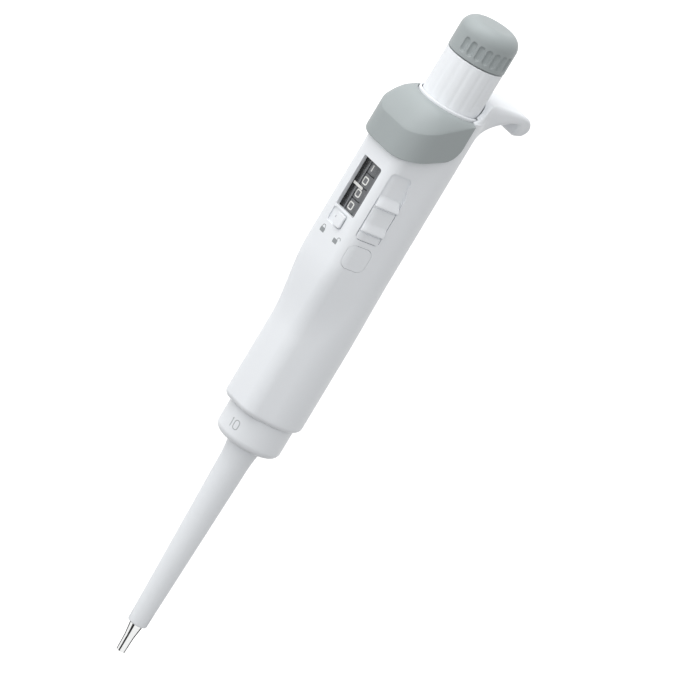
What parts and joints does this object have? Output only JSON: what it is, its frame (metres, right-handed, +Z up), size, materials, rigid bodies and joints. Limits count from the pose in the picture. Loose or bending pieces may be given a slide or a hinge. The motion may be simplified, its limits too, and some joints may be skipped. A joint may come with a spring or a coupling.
{
  "type": "micropipette",
  "caption": "Slim single-channel micropipette with a four-digit counter, thumb button, finger hook, tip-ejector sleeve and steel tip cone.",
  "frame": {"origin": "centre of the open end of the steel tip cone, on the pipette's long axis", "axes": "+Z up the long axis from the tip cone to the button, -Y out of the counter window, +Y towards the finger hook, +X out of the adjustment slide's flank"},
  "size_m": [0.0278, 0.0505, 0.2375],
  "materials": {
    "shell_white": "satin moulded plastic, cool white",
    "collar_grey": "satin moulded plastic, grey-green",
    "window_clear": "clear polished plastic",
    "counter_black": "dark grey plastic with white numerals",
    "frame_grey": "glass-filled plastic",
    "inner_plastic": "natural low-friction plastic",
    "steel": "polished stainless steel",
    "brass": "turned brass",
    "rubber": "black rubber"
  },
  "bodies": {
    "handle": {"handle_housing": "shell_white", "collar": "collar_grey", "guide_ring": "shell_white", "display_window": "window_clear", "tag_cover": "shell_white", "counter_frame": "frame_grey", "drum_shaft": "steel", "pinion_shaft": "steel", "spindle_nut": "brass", "blowout_spring": "steel", "lower_body": "inner_plastic", "spring_seat": "steel", "return_spring": "steel", "cone_spring": "steel", "ejector_spring": "steel"},
    "spindle": {"setting_spindle": "steel", "drive_gear": "brass"},
    "button": {"button_cap": "collar_grey", "button_sleeve": "shell_white", "push_rod": "steel"},
    "blowout_stop": {"blowout_plate": "steel"},
    "piston_rod": {"piston": "steel"},
    "ejector": {"ejector_sleeve": "shell_white", "ejector_carrier": "inner_plastic"},
    "nozzle": {"tip_cone": "steel", "piston_seal": "inner_plastic", "seal_o_ring": "rubber", "seal_retainer": "inner_plastic"},
    "lock": {"lock_slider": "shell_white"},
    "adjuster": {"volume_adjuster": "shell_white"},
    "hundredths": {"drum_hundredths": "counter_black"},
    "tenths": {"drum_tenths": "counter_black"},
    "units": {"drum_units": "counter_black"},
    "tens": {"drum_tens": "counter_black"},
    "transfer_1": {"transfer_pinion_1": "inner_plastic"},
    "transfer_2": {"transfer_pinion_2": "inner_plastic"},
    "transfer_3": {"transfer_pinion_3": "inner_plastic"}
  },
  "joints": [
    {"name": "volume_set", "type": "hinge", "parent": "handle", "child": "spindle", "pos_m": [0, 0, 0.18], "axis": [0, 0, 1], "range_deg": [-6840, 0]},
    {"name": "button_press", "type": "slide", "parent": "spindle", "child": "button", "axis": [0, 0, -1], "range_m": [0, 0.015], "stiffness_N_per_m": 200, "springref_m": -0.006},
    {"name": "blowout_press", "type": "slide", "parent": "handle", "child": "blowout_stop", "axis": [0, 0, -1], "range_m": [0, 0.0062], "deforming": ["blowout_spring"]},
    {"name": "piston_stroke", "type": "slide", "parent": "handle", "child": "piston_rod", "axis": [0, 0, -1], "range_m": [0, 0.015], "deforming": ["return_spring"]},
    {"name": "eject_slide", "type": "slide", "parent": "handle", "child": "ejector", "axis": [0, 0, -1], "range_m": [0, 0.0038], "deforming": ["ejector_spring"]},
    {"name": "cone_float", "type": "slide", "parent": "handle", "child": "nozzle", "axis": [0, 0, 1], "range_m": [0, 0.003], "stiffness_N_per_m": 1000, "springref_m": -0.004, "deforming": ["cone_spring"]},
    {"name": "lock_slide", "type": "slide", "parent": "handle", "child": "lock", "axis": [1, 0, 0], "range_m": [-0.0033, 0]},
    {"name": "adjust_slide", "type": "slide", "parent": "handle", "child": "adjuster", "axis": [0, 0, 1], "range_m": [0, 0.0035]},
    {"name": "hundredths_turn", "type": "hinge", "parent": "handle", "child": "hundredths", "pos_m": [0, -0.0085, 0.1664], "axis": [0, 0, 1], "continuous": true},
    {"name": "tenths_turn", "type": "hinge", "parent": "handle", "child": "tenths", "pos_m": [0, -0.0085, 0.17103], "axis": [0, 0, 1], "continuous": true},
    {"name": "units_turn", "type": "hinge", "parent": "handle", "child": "units", "pos_m": [0, -0.0085, 0.17566], "axis": [0, 0, 1], "continuous": true},
    {"name": "tens_turn", "type": "hinge", "parent": "handle", "child": "tens", "pos_m": [0, -0.0085, 0.18029], "axis": [0, 0, 1], "continuous": true},
    {"name": "transfer_1_turn", "type": "hinge", "parent": "handle", "child": "transfer_1", "pos_m": [-0.0077, -0.0085, 0.1687], "axis": [0, 0, 1], "continuous": true},
    {"name": "transfer_2_turn", "type": "hinge", "parent": "handle", "child": "transfer_2", "pos_m": [-0.0077, -0.0085, 0.1733], "axis": [0, 0, 1], "continuous": true},
    {"name": "transfer_3_turn", "type": "hinge", "parent": "handle", "child": "transfer_3", "pos_m": [-0.0077, -0.0085, 0.178], "axis": [0, 0, 1], "continuous": true}
  ],
  "couplings": [
    {"joint": "blowout_press", "follows": "button_press", "ratio": 0.41333},
    {"joint": "piston_stroke", "follows": "button_press", "ratio": 1},
    {"joint": "eject_slide", "follows": "button_press", "ratio": 0.25333},
    {"joint": "hundredths_turn", "follows": "volume_set", "ratio": -5},
    {"joint": "tenths_turn", "follows": "volume_set", "ratio": -0.5},
    {"joint": "units_turn", "follows": "volume_set", "ratio": -0.05},
    {"joint": "tens_turn", "follows": "volume_set", "ratio": -0.005},
    {"joint": "transfer_1_turn", "follows": "volume_set", "ratio": 1.25},
    {"joint": "transfer_2_turn", "follows": "volume_set", "ratio": 0.125},
    {"joint": "transfer_3_turn", "follows": "volume_set", "ratio": 0.0125}
  ]
}
